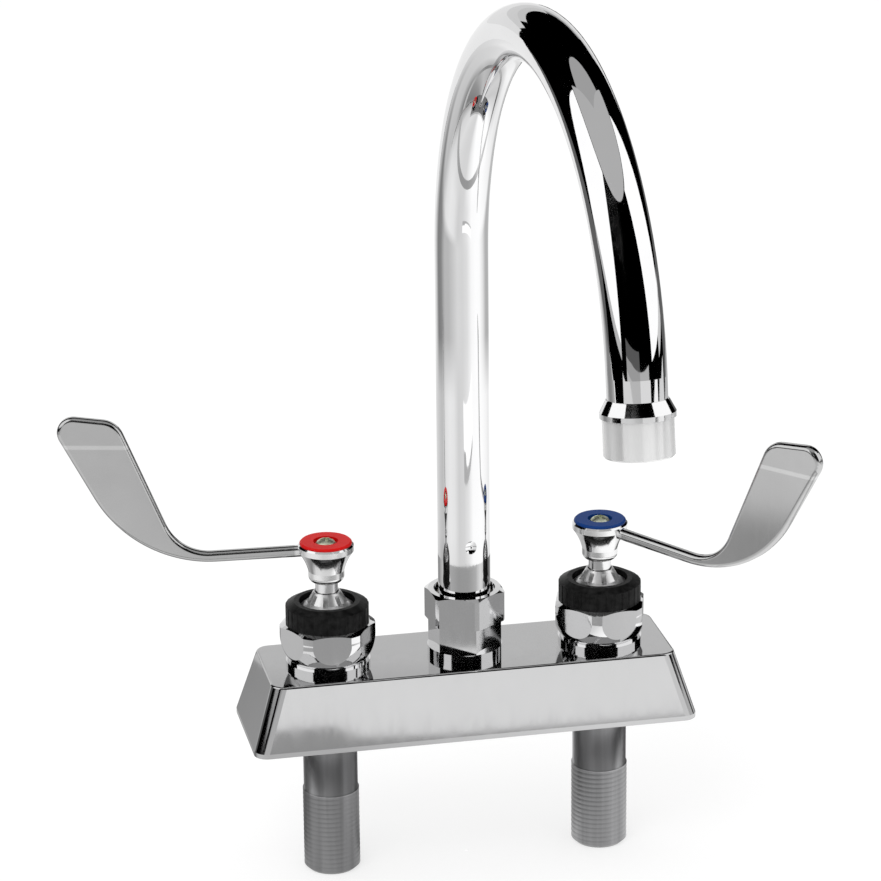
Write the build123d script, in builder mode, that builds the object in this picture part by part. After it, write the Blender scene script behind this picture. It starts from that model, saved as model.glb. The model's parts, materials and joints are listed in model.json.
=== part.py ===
from build123d import *
from math import cos, radians, sin
import os

# A deck-mounted gooseneck tap on 4 inch centres with two wrist-blade handles.
# Millimetres, +Z up, the front of the tap faces -Y, and the origin is the centre of the
# base underside, where it meets the deck. The hot side is at -X and the cold side at +X.

os.makedirs("parts", exist_ok=True)

# Clearances that serve the whole tap
thread_clearance = 0.1
braze_gap = 0.05
slide_clearance = 0.3
running_clearance = 0.2
overrun = 1.0
hexagon_sides = 6

# Base casting
valve_spacing = 101.6
base_length = 164.0
base_width = 50.0
base_height = 25.4
end_taper = 7.5
side_taper = 4.0
skirt_height = 1.8
base_corner_radius = 5.0
base_top_rounding = 0.8
base_wall = 3.2
cavity_corner_share = 0.4
valve_boss_diameter = 31.0
post_boss_diameter = 27.0
boss_foot = 1.0
channel_diameter = 8.0
channel_height = 12.5
channel_wall = 3.0

# Valve chambers in the casting
chamber_diameter = 20.6
seat_height = 8.0
port_diameter = 10.6

# Inlet shanks, 1/2 inch straight pipe thread
shank_drop = 55.5
shank_thread_diameter = 20.7
shank_relief_diameter = 19.9
shank_relief_drop = 24.0
shank_bore = 12.7
shank_spigot_diameter = 18.0
shank_spigot_length = 5.5
shank_chamfer = 1.4

# Bonnets, the large hexagons over the valve chambers
bonnet_flange_diameter = 30.8
bonnet_flange_height = 1.8
bonnet_neck_diameter = 28.6
bonnet_neck_height = 1.2
bonnet_across_flats = 31.8
bonnet_hex_height = 13.0
bonnet_barrel_foot = 29.6
bonnet_barrel_bulge = 33.8
bonnet_barrel_diameter = 34.7
bonnet_barrel_rise = 9.6
bonnet_top_chamfer = 1.0
bonnet_thread_diameter = 23.0
bonnet_thread_length = 7.8
bonnet_bore = 18.8
bonnet_crown_diameter = 20.0
bonnet_crown_height = 5.0
packing_bore = 12.2
hot_bonnet_angle = -4.0
cold_bonnet_angle = 13.0

# Black grip rings that stand on the bonnets
ring_diameter = 30.2
ring_height = 8.2
ring_shoulder_width = 3.0
ring_shoulder_height = 1.6
ring_flute_count = 30
ring_flute_radius = 1.0
ring_flute_depth = 0.25

# Slotted gland nuts
gland_foot_diameter = 19.4
gland_top_diameter = 9.8
gland_foot_height = 1.2
gland_shoulder_height = 1.8
gland_shoulder_diameter = 14.2
gland_cone_height = 5.6
gland_spigot_length = 3.2
gland_slot_count = 8
gland_slot_width = 1.8
gland_slot_height = 4.2
gland_slot_setback = 0.4

# Stem packing and bonnet joint ring
packing_height = 2.6
joint_ring_section = 1.2

# Quarter-turn cartridges
cartridge_diameter = 18.2
cartridge_foot_gap = 0.6
cartridge_cup_bore = 15.2
cartridge_shoulder_rise = 8.6
cartridge_neck_diameter = 11.8
cartridge_window_height = 3.2
cartridge_window_width = 9.0
seal_height = 2.6
seal_diameter = 14.8
seal_bore = 10.6
disc_diameter = 14.8
disc_height = 2.4
disc_port_count = 2
disc_port_diameter = 4.2
disc_port_radius = 3.9
disc_slot_width = 3.2
disc_slot_length = 9.0
disc_slot_depth = 1.1

# Stems
stem_diameter = 8.2
stem_foot_diameter = 14.2
stem_foot_height = 2.2
stem_groove_rise = 7.6
stem_groove_width = 2.2
stem_ring_section = 1.5
stem_tap_diameter = 3.4
stem_tap_depth = 8.0
spline_diameter = 7.2
spline_root_diameter = 6.2
spline_tooth_count = 12
spline_tooth_width = 0.9
spline_length = 7.0

# Wrist-blade handles
stem_show = 3.8
hub_height = 14.4
hub_rim_diameter = 20.2
hub_rim_height = 2.6
hub_rim_edge = 0.6
hub_collar_diameter = 13.0
hub_collar_height = 4.2
hub_collar_rounding = 2.2
hub_waist_share = 0.36
index_diameter = 19.0
index_bore = 9.0
index_height = 1.5
index_recess = 0.5
index_edge = 0.5
screw_head_diameter = 8.4
screw_head_height = 2.4
screw_diameter = 3.2
screw_length = 10.0
screw_hole_diameter = 4.2
screw_slot_width = 1.0
screw_slot_length = 4.2
screw_slot_depth = 0.9
blade_thickness = 4.0
blade_edge_share = 0.4
blade_reach = 100.0
blade_tip_width = 26.3
blade_inner_lean = 20.8
blade_outer_lean = 31.1
blade_arm_top_drop = 0.2
blade_arm_height = 5.0
blade_arm_dip = 3.8
blade_root_height = 4.2
blade_tip_inner_rise = 46.3
blade_tip_rise = 49.0
blade_inner_radius = 16.0
blade_outer_radius = 46.0
blade_tip_inner_radius = 8.5
blade_tip_outer_radius = 6.0
hot_blade_angle = 166.0
cold_blade_angle = -50.6
hot_closed_angle = 166.0
cold_closed_angle = 0.0
quarter_angle = 90.0

# Spout post and coupling nut
post_flange_diameter = 27.4
post_flange_height = 3.0
post_across_flats = 23.6
post_hex_height = 9.8
post_thread_diameter = 22.6
post_thread_height = 5.3
post_root_diameter = 19.0
post_root_length = 10.0
post_bore = 19.45
post_floor_height = 1.6
post_waterway = 10.0
nut_across_flats = 26.4
nut_corner_diameter = 29.5
nut_height = 11.8
nut_bevel_width = 1.5
nut_bevel_height = 0.9
nut_lip_height = 1.3
nut_lip_gap = 0.6
nut_recess_height = 2.0
nut_recess_diameter = 22.4
nut_angle = -24.0

# Swivel joint inside the nut
washer_height = 0.6
collar_height = 2.0
swivel_collar_diameter = 22.0
ferrule_diameter = 18.9
ferrule_length = 8.0
ferrule_spigot_length = 6.0
ferrule_bore = 10.6
ferrule_groove_width = 2.1
ferrule_groove_pitch = 3.6
spout_ring_section = 1.6

# Gooseneck
spout_diameter = 19.05
spout_wall = 1.2
spout_rise = 177.8
spout_bend_radius = 97.5
spout_bend_angle = 172.0
spout_tip_straight = 11.0
spout_angle = -86.1
dimple_height = 68.6
dimple_diameter = 9.0
dimple_depth = 0.75

# Outlet
tip_rim_diameter = 23.8
tip_rim_height = 1.6
tip_flare_height = 4.0
tip_flare_edge = 0.25
tip_spigot_diameter = 20.0
tip_spigot_length = 5.2
tip_bore = 15.6
aerator_diameter = 22.3
aerator_height = 12.4
aerator_wall = 1.0
aerator_lip_width = 1.7
aerator_lip_height = 1.0
aerator_edge = 0.5
aerator_washer_height = 1.4
insert_screen_height = 1.6
insert_hole_diameter = 1.7
insert_hole_pitch = 2.6
insert_hole_rings = 3
insert_holes_per_ring = 6

# Levels and places worked out from the sizes above
valve_x = {"hot": -valve_spacing / 2, "cold": valve_spacing / 2}
bonnet_angles = {"hot": hot_bonnet_angle, "cold": cold_bonnet_angle}
blade_angles = {"hot": hot_blade_angle, "cold": cold_blade_angle}
closed_angles = {"hot": hot_closed_angle, "cold": cold_closed_angle}
bonnet_hex_bottom = base_height + bonnet_flange_height + bonnet_neck_height
bonnet_hex_top = bonnet_hex_bottom + bonnet_hex_height
bonnet_top = bonnet_hex_top + bonnet_crown_height
gland_top = bonnet_top + gland_foot_height + gland_cone_height
packing_bottom = bonnet_top - gland_spigot_length - packing_height
cartridge_shoulder = base_height + cartridge_shoulder_rise
stem_groove_height = base_height + stem_groove_rise
cartridge_bottom = seat_height + cartridge_foot_gap
fixed_disc_bottom = seat_height + seal_height
turning_disc_bottom = fixed_disc_bottom + disc_height
stem_foot_bottom = turning_disc_bottom + disc_height
stem_shaft_bottom = stem_foot_bottom + stem_foot_height
hub_bottom = gland_top + stem_show
stem_top = hub_bottom + spline_length
hub_top = hub_bottom + hub_height
index_seat = hub_top - index_recess
post_hex_bottom = base_height + post_flange_height
post_hex_top = post_hex_bottom + post_hex_height
post_top = post_hex_top + post_thread_height
post_floor = base_height + post_floor_height
swivel_collar_bottom = post_top + washer_height
upper_washer_bottom = swivel_collar_bottom + collar_height
nut_bottom = post_hex_top
nut_lip_bottom = upper_washer_bottom + washer_height
ferrule_bottom = post_floor + running_clearance
spout_foot = ferrule_bottom + ferrule_length
spout_bore = spout_diameter - 2 * spout_wall
stem_groove_diameter = stem_diameter - 2 * stem_ring_section + 2 * braze_gap
joint_ring_radius = bonnet_thread_diameter / 2 + thread_clearance + joint_ring_section
joint_ring_height = base_height + joint_ring_section / 2 + braze_gap


def upright(x):
    """The plane through a vertical axis at x, with its local axes along radius and height."""
    return Plane(origin=(x, 0, 0), x_dir=(1, 0, 0), z_dir=(0, -1, 0))


def heading(x, angle):
    """The same plane turned about its vertical axis, so that radius points along the angle."""
    c = cos(radians(angle))
    s = sin(radians(angle))
    return Plane(origin=(x, 0, 0), x_dir=(c, s, 0), z_dir=(s, -c, 0))


def centre_line(x):
    return Axis((x, 0, 0), (0, 0, 1))


def turned(x, outline):
    """A solid of revolution about the vertical axis at x, from its outline in radius and height."""
    with BuildPart() as piece:
        with BuildSketch(upright(x)):
            with BuildLine():
                Polyline(*outline, close=True)
            make_face()
        revolve(axis=centre_line(x))
    return piece.part


def washer(x, bottom, height, outer, bore):
    """A flat ring about the vertical axis at x."""
    return turned(x, [(bore / 2, bottom), (outer / 2, bottom),
                      (outer / 2, bottom + height), (bore / 2, bottom + height)])


def round_ring(x, height, mean_radius, section):
    """A ring of round section about the vertical axis at x."""
    with BuildPart() as piece:
        with BuildSketch(upright(x)):
            with Locations((mean_radius, height)):
                Circle(section / 2)
        revolve(axis=centre_line(x))
    return piece.part


# Base casting: sloping sides over a short skirt, open below, with a boss under each valve
# and under the spout, and a water passage that joins the three
cavity_top = base_height - base_wall
taper_share = (cavity_top - skirt_height) / (base_height - skirt_height)
cavity_top_length = base_length - 2 * (base_wall + end_taper * taper_share)
cavity_top_width = base_width - 2 * (base_wall + side_taper * taper_share)
cavity_corner = base_corner_radius * cavity_corner_share
valve_places = [(valve_x["hot"], 0), (valve_x["cold"], 0)]
channel_boss = channel_diameter + 2 * channel_wall
bonnet_thread_foot = base_height - bonnet_thread_length
post_root_foot = base_height - post_root_length

with BuildPart() as base_body:
    with BuildSketch(Plane.XY):
        RectangleRounded(base_length, base_width, base_corner_radius)
    extrude(amount=skirt_height)
    with BuildSketch(Plane.XY.offset(skirt_height)):
        RectangleRounded(base_length, base_width, base_corner_radius)
    with BuildSketch(Plane.XY.offset(base_height)):
        RectangleRounded(base_length - 2 * end_taper, base_width - 2 * side_taper, base_corner_radius)
    loft(ruled=True)
    fillet(base_body.faces().sort_by(Axis.Z)[-1].edges(), base_top_rounding)
    with BuildSketch(Plane.XY):
        RectangleRounded(base_length - 2 * base_wall, base_width - 2 * base_wall, cavity_corner)
    extrude(amount=skirt_height, mode=Mode.SUBTRACT)
    with BuildSketch(Plane.XY.offset(skirt_height)):
        RectangleRounded(base_length - 2 * base_wall, base_width - 2 * base_wall, cavity_corner)
    with BuildSketch(Plane.XY.offset(cavity_top)):
        RectangleRounded(cavity_top_length, cavity_top_width, cavity_corner)
    loft(ruled=True, mode=Mode.SUBTRACT)
    with BuildSketch(Plane.XY.offset(boss_foot)):
        with Locations(*valve_places):
            Circle(valve_boss_diameter / 2)
    extrude(amount=cavity_top - boss_foot + base_wall / 2)
    with BuildSketch(Plane.XY.offset(channel_height - channel_boss / 2)):
        Circle(post_boss_diameter / 2)
    extrude(amount=cavity_top - channel_height + channel_boss / 2 + base_wall / 2)
    with BuildSketch(Plane.YZ.offset(valve_x["hot"])):
        with Locations((0, channel_height)):
            Circle(channel_boss / 2)
    extrude(amount=valve_spacing)
    with BuildSketch(Plane.XY.offset(seat_height)):
        with Locations(*valve_places):
            Circle(chamber_diameter / 2)
    extrude(amount=base_height - seat_height + overrun, mode=Mode.SUBTRACT)
    with BuildSketch(Plane.XY.offset(bonnet_thread_foot)):
        with Locations(*valve_places):
            Circle(bonnet_thread_diameter / 2 + thread_clearance)
    extrude(amount=bonnet_thread_length + overrun, mode=Mode.SUBTRACT)
    with BuildSketch(Plane.XY.offset(boss_foot)):
        with Locations(*valve_places):
            Circle(port_diameter / 2)
    extrude(amount=seat_height - boss_foot + overrun, mode=Mode.SUBTRACT)
    with BuildSketch(Plane.XY.offset(boss_foot - overrun)):
        with Locations(*valve_places):
            Circle(shank_spigot_diameter / 2 + thread_clearance)
    extrude(amount=shank_spigot_length + thread_clearance + overrun, mode=Mode.SUBTRACT)
    with BuildSketch(Plane.YZ.offset(valve_x["hot"])):
        with Locations((0, channel_height)):
            Circle(channel_diameter / 2)
    extrude(amount=valve_spacing, mode=Mode.SUBTRACT)
    with BuildSketch(Plane.XY.offset(post_root_foot - thread_clearance)):
        Circle(post_root_diameter / 2 + thread_clearance)
    extrude(amount=post_root_length + thread_clearance + overrun, mode=Mode.SUBTRACT)
    with BuildSketch(Plane.XY.offset(channel_height)):
        Circle(post_waterway / 2)
    extrude(amount=post_root_foot - channel_height, mode=Mode.SUBTRACT)


def shank(x):
    """Threaded inlet pipe under a valve, relieved where it leaves the base."""
    bore = shank_bore / 2
    thread = shank_thread_diameter / 2
    relief = shank_relief_diameter / 2
    spigot = shank_spigot_diameter / 2
    spigot_top = boss_foot + shank_spigot_length
    return turned(x, [(bore, -shank_drop), (thread - shank_chamfer, -shank_drop),
                      (thread, shank_chamfer - shank_drop), (thread, -shank_relief_drop),
                      (relief, -shank_relief_drop), (relief, boss_foot), (spigot, boss_foot),
                      (spigot, spigot_top), (bore, spigot_top)])


def bonnet(x, turn):
    """Hexagon with its corners turned to a barrel, on a neck and a round flange."""
    barrel_middle = bonnet_hex_bottom + bonnet_barrel_rise / 2
    barrel_shoulder = bonnet_hex_bottom + bonnet_barrel_rise
    barrel = bonnet_barrel_diameter / 2
    with BuildPart() as piece:
        with BuildSketch(Plane(origin=(x, 0, bonnet_hex_bottom))):
            RegularPolygon(bonnet_across_flats / 2, hexagon_sides, major_radius=False, rotation=turn)
        extrude(amount=bonnet_hex_height)
        with BuildSketch(upright(x)):
            with BuildLine():
                ThreePointArc((bonnet_barrel_foot / 2, bonnet_hex_bottom),
                              (bonnet_barrel_bulge / 2, barrel_middle), (barrel, barrel_shoulder))
                Polyline((barrel, barrel_shoulder), (barrel, bonnet_hex_top - bonnet_top_chamfer),
                         (barrel - 2 * bonnet_top_chamfer, bonnet_hex_top), (0, bonnet_hex_top),
                         (0, bonnet_hex_bottom), (bonnet_barrel_foot / 2, bonnet_hex_bottom))
            make_face()
        revolve(axis=centre_line(x), mode=Mode.INTERSECT)
        with BuildSketch(upright(x)):
            with BuildLine():
                Polyline((0, base_height - bonnet_thread_length),
                         (bonnet_thread_diameter / 2, base_height - bonnet_thread_length),
                         (bonnet_thread_diameter / 2, base_height),
                         (bonnet_flange_diameter / 2, base_height),
                         (bonnet_flange_diameter / 2, base_height + bonnet_flange_height),
                         (bonnet_neck_diameter / 2, base_height + bonnet_flange_height),
                         (bonnet_neck_diameter / 2, bonnet_hex_bottom + overrun),
                         (bonnet_crown_diameter / 2, bonnet_hex_bottom + overrun),
                         (bonnet_crown_diameter / 2, bonnet_top), (0, bonnet_top), close=True)
            make_face()
        revolve(axis=centre_line(x))
        with BuildSketch(upright(x)):
            with BuildLine():
                Polyline((0, 0), (bonnet_bore / 2, 0),
                         (bonnet_bore / 2, cartridge_shoulder + running_clearance),
                         (packing_bore / 2, cartridge_shoulder + running_clearance),
                         (packing_bore / 2, bonnet_top + overrun), (0, bonnet_top + overrun), close=True)
            make_face()
        revolve(axis=centre_line(x), mode=Mode.SUBTRACT)
        with BuildSketch(upright(x)):
            with Locations((joint_ring_radius, joint_ring_height)):
                Rectangle(joint_ring_section + 2 * braze_gap, joint_ring_section + 2 * braze_gap)
        revolve(axis=centre_line(x), mode=Mode.SUBTRACT)
    return piece.part


def grip_ring(x):
    """Black ring with shallow upright flutes, pushed over the bonnet's crown."""
    outer = ring_diameter / 2
    bore = bonnet_crown_diameter / 2 + running_clearance
    top = bonnet_hex_top + ring_height
    with BuildPart() as piece:
        with BuildSketch(upright(x)):
            with BuildLine():
                Polyline((bore, bonnet_hex_top), (outer, bonnet_hex_top),
                         (outer, top - ring_shoulder_height), (outer - ring_shoulder_width, top),
                         (bore, top), close=True)
            make_face()
        revolve(axis=centre_line(x))
        with BuildSketch(Plane(origin=(x, 0, bonnet_hex_top))):
            with PolarLocations(outer + ring_flute_radius - ring_flute_depth, ring_flute_count):
                Circle(ring_flute_radius)
        extrude(amount=ring_height, mode=Mode.SUBTRACT)
    return piece.part


def gland(x, angle):
    """Slotted cone that closes the bonnet and presses the packing round the stem."""
    bore = stem_diameter / 2 + slide_clearance
    foot = gland_foot_diameter / 2
    cone_foot = bonnet_top + gland_foot_height
    shoulder = gland_shoulder_diameter / 2
    slot_start = gland_top_diameter / 2 + gland_slot_setback
    slot_end = foot + overrun
    with BuildPart() as piece:
        with BuildSketch(upright(x)):
            with BuildLine():
                Polyline((bore, bonnet_top - gland_spigot_length),
                         (packing_bore / 2 - thread_clearance, bonnet_top - gland_spigot_length),
                         (packing_bore / 2 - thread_clearance, bonnet_top), (foot, bonnet_top),
                         (foot, cone_foot), (shoulder, cone_foot + gland_shoulder_height),
                         (gland_top_diameter / 2, gland_top), (bore, gland_top), close=True)
            make_face()
        revolve(axis=centre_line(x))
        with BuildSketch(Plane(origin=(x, 0, gland_top - gland_slot_height))):
            with PolarLocations((slot_start + slot_end) / 2, gland_slot_count, angle):
                Rectangle(slot_end - slot_start, gland_slot_width)
        extrude(amount=gland_slot_height, mode=Mode.SUBTRACT)
    return piece.part


def cartridge(x, angle):
    """Brass housing of the quarter-turn valve, with two windows beside the turning disc."""
    outer = cartridge_diameter / 2
    cup = cartridge_cup_bore / 2
    neck = cartridge_neck_diameter / 2
    bore = stem_diameter / 2 + slide_clearance
    cup_roof = stem_shaft_bottom + running_clearance
    neck_top = packing_bottom - braze_gap
    with BuildPart() as piece:
        with BuildSketch(upright(x)):
            with BuildLine():
                Polyline((cup, cartridge_bottom), (outer, cartridge_bottom), (outer, cartridge_shoulder),
                         (neck, cartridge_shoulder), (neck, neck_top), (bore, neck_top),
                         (bore, cup_roof), (cup, cup_roof), close=True)
            make_face()
        revolve(axis=centre_line(x))
        with BuildSketch(Plane(origin=(x, 0, turning_disc_bottom))):
            Rectangle(cartridge_window_width, cartridge_diameter + overrun, rotation=angle)
        extrude(amount=cartridge_window_height, mode=Mode.SUBTRACT)
    return piece.part


def ceramic_disc(x, bottom, angle, slotted):
    """Ceramic disc with two ports, and in the turning one a slot for the stem's tang."""
    with BuildPart() as piece:
        with BuildSketch(Plane(origin=(x, 0, bottom))):
            Circle(disc_diameter / 2)
            with PolarLocations(disc_port_radius, disc_port_count, angle):
                Circle(disc_port_diameter / 2, mode=Mode.SUBTRACT)
        extrude(amount=disc_height)
        if slotted:
            with BuildSketch(Plane(origin=(x, 0, bottom + disc_height - disc_slot_depth))):
                Rectangle(disc_slot_width, disc_slot_length, rotation=angle)
            extrude(amount=disc_slot_depth, mode=Mode.SUBTRACT)
    return piece.part


def splined_outline(extra):
    """Round bar with square teeth, larger by the extra all round for its socket."""
    Circle(spline_root_diameter / 2 + extra)
    with PolarLocations(spline_root_diameter / 2, spline_tooth_count):
        Rectangle(spline_diameter - spline_root_diameter + 2 * extra, spline_tooth_width + 2 * extra)


def stem(x, angle):
    """Spindle from the tang in the turning disc up to the splines in the hub."""
    groove_floor = stem_groove_diameter / 2
    with BuildPart() as piece:
        with BuildSketch(Plane(origin=(x, 0, stem_foot_bottom))):
            Circle(stem_foot_diameter / 2)
        extrude(amount=stem_foot_height)
        with BuildSketch(Plane(origin=(x, 0, stem_foot_bottom - disc_slot_depth + braze_gap))):
            Rectangle(disc_slot_width - running_clearance, disc_slot_length - running_clearance,
                      rotation=angle)
        extrude(amount=disc_slot_depth)
        with BuildSketch(Plane(origin=(x, 0, stem_shaft_bottom))):
            Circle(stem_diameter / 2)
        extrude(amount=hub_bottom - stem_shaft_bottom)
        with BuildSketch(upright(x)):
            with Locations((groove_floor + stem_diameter / 2, stem_groove_height)):
                Rectangle(stem_diameter, stem_groove_width)
        revolve(axis=centre_line(x), mode=Mode.SUBTRACT)
        with BuildSketch(Plane(origin=(x, 0, hub_bottom))):
            splined_outline(0)
        extrude(amount=spline_length)
        with BuildSketch(Plane(origin=(x, 0, stem_top - stem_tap_depth))):
            Circle(stem_tap_diameter / 2)
        extrude(amount=stem_tap_depth, mode=Mode.SUBTRACT)
    return piece.part


def wrist_handle(x, angle):
    """Forged handle: a mushroom hub and a flat arm that turns up into a broad blade."""
    side = heading(x, angle)
    arm_top = hub_top - blade_arm_top_drop
    elbow_top = arm_top - blade_arm_dip
    elbow_bottom = elbow_top - blade_arm_height
    root_top = arm_top - (blade_arm_height - blade_root_height) / 2
    tip_inner = blade_reach - blade_tip_width
    collar = hub_collar_diameter / 2
    rim = hub_rim_diameter / 2
    collar_top = hub_bottom + hub_collar_height
    rim_bottom = hub_top - hub_rim_height
    waist = collar + (rim - collar) * hub_waist_share
    with BuildPart() as piece:
        with BuildSketch(side):
            with BuildLine():
                FilletPolyline((collar, root_top), (tip_inner - blade_inner_lean, elbow_top),
                               (tip_inner, arm_top + blade_tip_inner_rise),
                               (blade_reach, arm_top + blade_tip_rise),
                               (blade_reach - blade_outer_lean, elbow_bottom),
                               (collar, root_top - blade_root_height),
                               radius=[blade_inner_radius, blade_tip_inner_radius,
                                       blade_tip_outer_radius, blade_outer_radius])
                Line((collar, root_top - blade_root_height), (collar, root_top))
            make_face()
        extrude(amount=blade_thickness / 2, both=True)
        broad_faces = piece.faces().filter_by(Axis(side.origin, side.z_dir))
        fillet(broad_faces.edges(), blade_thickness * blade_edge_share)
        with BuildSketch(side):
            with BuildLine():
                Line((0, hub_bottom), (collar - hub_collar_rounding, hub_bottom))
                RadiusArc((collar - hub_collar_rounding, hub_bottom),
                          (collar, hub_bottom + hub_collar_rounding), -hub_collar_rounding)
                Line((collar, hub_bottom + hub_collar_rounding), (collar, collar_top))
                ThreePointArc((collar, collar_top), (waist, (collar_top + rim_bottom) / 2),
                              (rim, rim_bottom))
                Polyline((rim, rim_bottom), (rim, hub_top - hub_rim_edge),
                         (index_diameter / 2, hub_top), (index_diameter / 2, index_seat),
                         (0, index_seat), (0, hub_bottom))
            make_face()
        revolve(axis=centre_line(x))
        with BuildSketch(Plane(origin=(x, 0, index_seat))):
            Circle(index_diameter / 2)
        extrude(amount=index_recess + overrun, mode=Mode.SUBTRACT)
        with BuildSketch(Plane(origin=(x, 0, hub_bottom - overrun))):
            splined_outline(braze_gap)
        extrude(amount=spline_length + running_clearance + overrun, mode=Mode.SUBTRACT)
        with BuildSketch(Plane(origin=(x, 0, hub_bottom))):
            Circle(screw_hole_diameter / 2)
        extrude(amount=hub_height, mode=Mode.SUBTRACT)
    return piece.part


def index_ring(x):
    """Coloured ring in the recess of the hub."""
    outer = index_diameter / 2 - braze_gap
    top = index_seat + index_height
    return turned(x, [(index_bore / 2, index_seat), (outer, index_seat), (outer, top - index_edge),
                      (outer - index_edge, top), (index_bore / 2, top)])


def handle_screw(x):
    """Domed cross-slotted screw that holds the handle on its stem."""
    head = screw_head_diameter / 2
    shaft = screw_diameter / 2
    top = index_seat + screw_head_height
    dome_radius = (head ** 2 + screw_head_height ** 2) / (2 * screw_head_height)
    with BuildPart() as piece:
        with BuildSketch(upright(x)):
            with BuildLine():
                Polyline((0, top), (0, index_seat - screw_length), (shaft, index_seat - screw_length),
                         (shaft, index_seat), (head, index_seat))
                RadiusArc((head, index_seat), (0, top), -dome_radius)
            make_face()
        revolve(axis=centre_line(x))
        with BuildSketch(Plane(origin=(x, 0, top - screw_slot_depth))):
            Rectangle(screw_slot_length, screw_slot_width)
            Rectangle(screw_slot_width, screw_slot_length)
        extrude(amount=screw_slot_depth, mode=Mode.SUBTRACT)
    return piece.part


# Spout post: round flange, hexagon and threaded collar, screwed into the base
with BuildPart() as spout_post:
    with BuildSketch(Plane.XY.offset(post_hex_bottom)):
        RegularPolygon(post_across_flats / 2, hexagon_sides, major_radius=False, rotation=nut_angle)
    extrude(amount=post_hex_height)
    with BuildSketch(Plane.XZ):
        with BuildLine():
            Polyline((0, post_root_foot), (post_root_diameter / 2, post_root_foot),
                     (post_root_diameter / 2, base_height), (post_flange_diameter / 2, base_height),
                     (post_flange_diameter / 2, post_hex_bottom), (post_thread_diameter / 2, post_hex_bottom),
                     (post_thread_diameter / 2, post_top), (0, post_top), close=True)
        make_face()
    revolve(axis=Axis.Z)
    with BuildSketch(Plane.XY.offset(post_floor)):
        Circle(post_bore / 2)
    extrude(amount=post_top - post_floor, mode=Mode.SUBTRACT)
    with BuildSketch(Plane.XY.offset(post_root_foot)):
        Circle(post_waterway / 2)
    extrude(amount=post_floor - post_root_foot, mode=Mode.SUBTRACT)

# Coupling nut: holds the swivel collar down on the post and stands open round the tube
nut_top = nut_bottom + nut_height
nut_thread = post_thread_diameter / 2 + thread_clearance
nut_corner = nut_corner_diameter / 2
with BuildPart() as spout_nut:
    with BuildSketch(Plane.XY.offset(nut_bottom)):
        RegularPolygon(nut_across_flats / 2, hexagon_sides, major_radius=False, rotation=nut_angle)
    extrude(amount=nut_height)
    with BuildSketch(Plane.XZ):
        with BuildLine():
            Polyline((0, nut_bottom), (nut_corner, nut_bottom), (nut_corner, nut_top - nut_bevel_height),
                     (nut_corner - nut_bevel_width, nut_top), (0, nut_top), close=True)
        make_face()
    revolve(axis=Axis.Z, mode=Mode.INTERSECT)
    with BuildSketch(Plane.XZ):
        with BuildLine():
            Polyline((0, nut_bottom), (nut_thread, nut_bottom), (nut_thread, nut_lip_bottom),
                     (spout_diameter / 2 + nut_lip_gap, nut_lip_bottom),
                     (spout_diameter / 2 + nut_lip_gap, nut_top - nut_recess_height),
                     (nut_recess_diameter / 2, nut_top - nut_recess_height),
                     (nut_recess_diameter / 2, nut_top), (0, nut_top), close=True)
        make_face()
    revolve(axis=Axis.Z, mode=Mode.SUBTRACT)

# Gooseneck tube: an upright riser, one round bend and a short straight tip
spout_side = heading(0, spout_angle)
with BuildPart() as spout_tube:
    with BuildLine(spout_side) as spout_path:
        riser = Line((0, spout_foot), (0, spout_rise))
        bend = JernArc(riser @ 1, riser % 1, spout_bend_radius, -spout_bend_angle)
        tip = Line(bend @ 1, (bend @ 1) + (bend % 1) * spout_tip_straight)
    with BuildSketch(Plane.XY.offset(spout_foot)):
        Circle(spout_diameter / 2)
        Circle(spout_bore / 2, mode=Mode.SUBTRACT)
    sweep()
    with BuildSketch(spout_side):
        with BuildLine():
            centre = spout_diameter / 2 + dimple_diameter / 2 - dimple_depth
            CenterArc((centre, dimple_height), dimple_diameter / 2, 0, 180)
            Line((centre - dimple_diameter / 2, dimple_height), (centre + dimple_diameter / 2, dimple_height))
        make_face()
    dimple_axis = Axis(spout_side.from_local_coords((0, dimple_height, 0)), spout_side.x_dir)
    revolve(axis=dimple_axis, mode=Mode.SUBTRACT)

# Ferrule brazed into the foot of the tube, with two grooves for its sealing rings
ferrule = ferrule_diameter / 2
groove_floor = ferrule - spout_ring_section + braze_gap
groove_heights = [ferrule_bottom + ferrule_length / 2 - ferrule_groove_pitch / 2,
                  ferrule_bottom + ferrule_length / 2 + ferrule_groove_pitch / 2]
with BuildPart() as spout_ferrule:
    with BuildSketch(Plane.XZ):
        with BuildLine():
            Polyline((ferrule_bore / 2, ferrule_bottom), (ferrule, ferrule_bottom), (ferrule, spout_foot),
                     (spout_bore / 2 - braze_gap, spout_foot),
                     (spout_bore / 2 - braze_gap, spout_foot + ferrule_spigot_length),
                     (ferrule_bore / 2, spout_foot + ferrule_spigot_length), close=True)
        make_face()
    revolve(axis=Axis.Z)
    with BuildSketch(Plane.XZ):
        for height in groove_heights:
            with Locations((groove_floor + ferrule / 2, height)):
                Rectangle(ferrule, ferrule_groove_width)
    revolve(axis=Axis.Z, mode=Mode.SUBTRACT)

with BuildPart() as spout_seal_rings:
    with BuildSketch(Plane.XZ):
        for height in groove_heights:
            with Locations((groove_floor + spout_ring_section / 2 + braze_gap, height)):
                Circle(spout_ring_section / 2)
    revolve(axis=Axis.Z)

# Outlet plane: its local axes are the radius and the way back up the tube
tip_end = spout_side.to_local_coords(spout_path.line @ 1)
tip_way = spout_side.to_local_coords((spout_path.line @ 1) + (spout_path.line % 1)) - tip_end
outlet_axis = Axis(spout_path.line @ 1, spout_path.line % 1)
outlet_radius = spout_side.from_local_coords(tip_end + Vector(-tip_way.Y, tip_way.X, 0)) - outlet_axis.position
outlet_side = Plane(origin=outlet_axis.position, x_dir=outlet_radius, z_dir=spout_side.z_dir)


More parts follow.
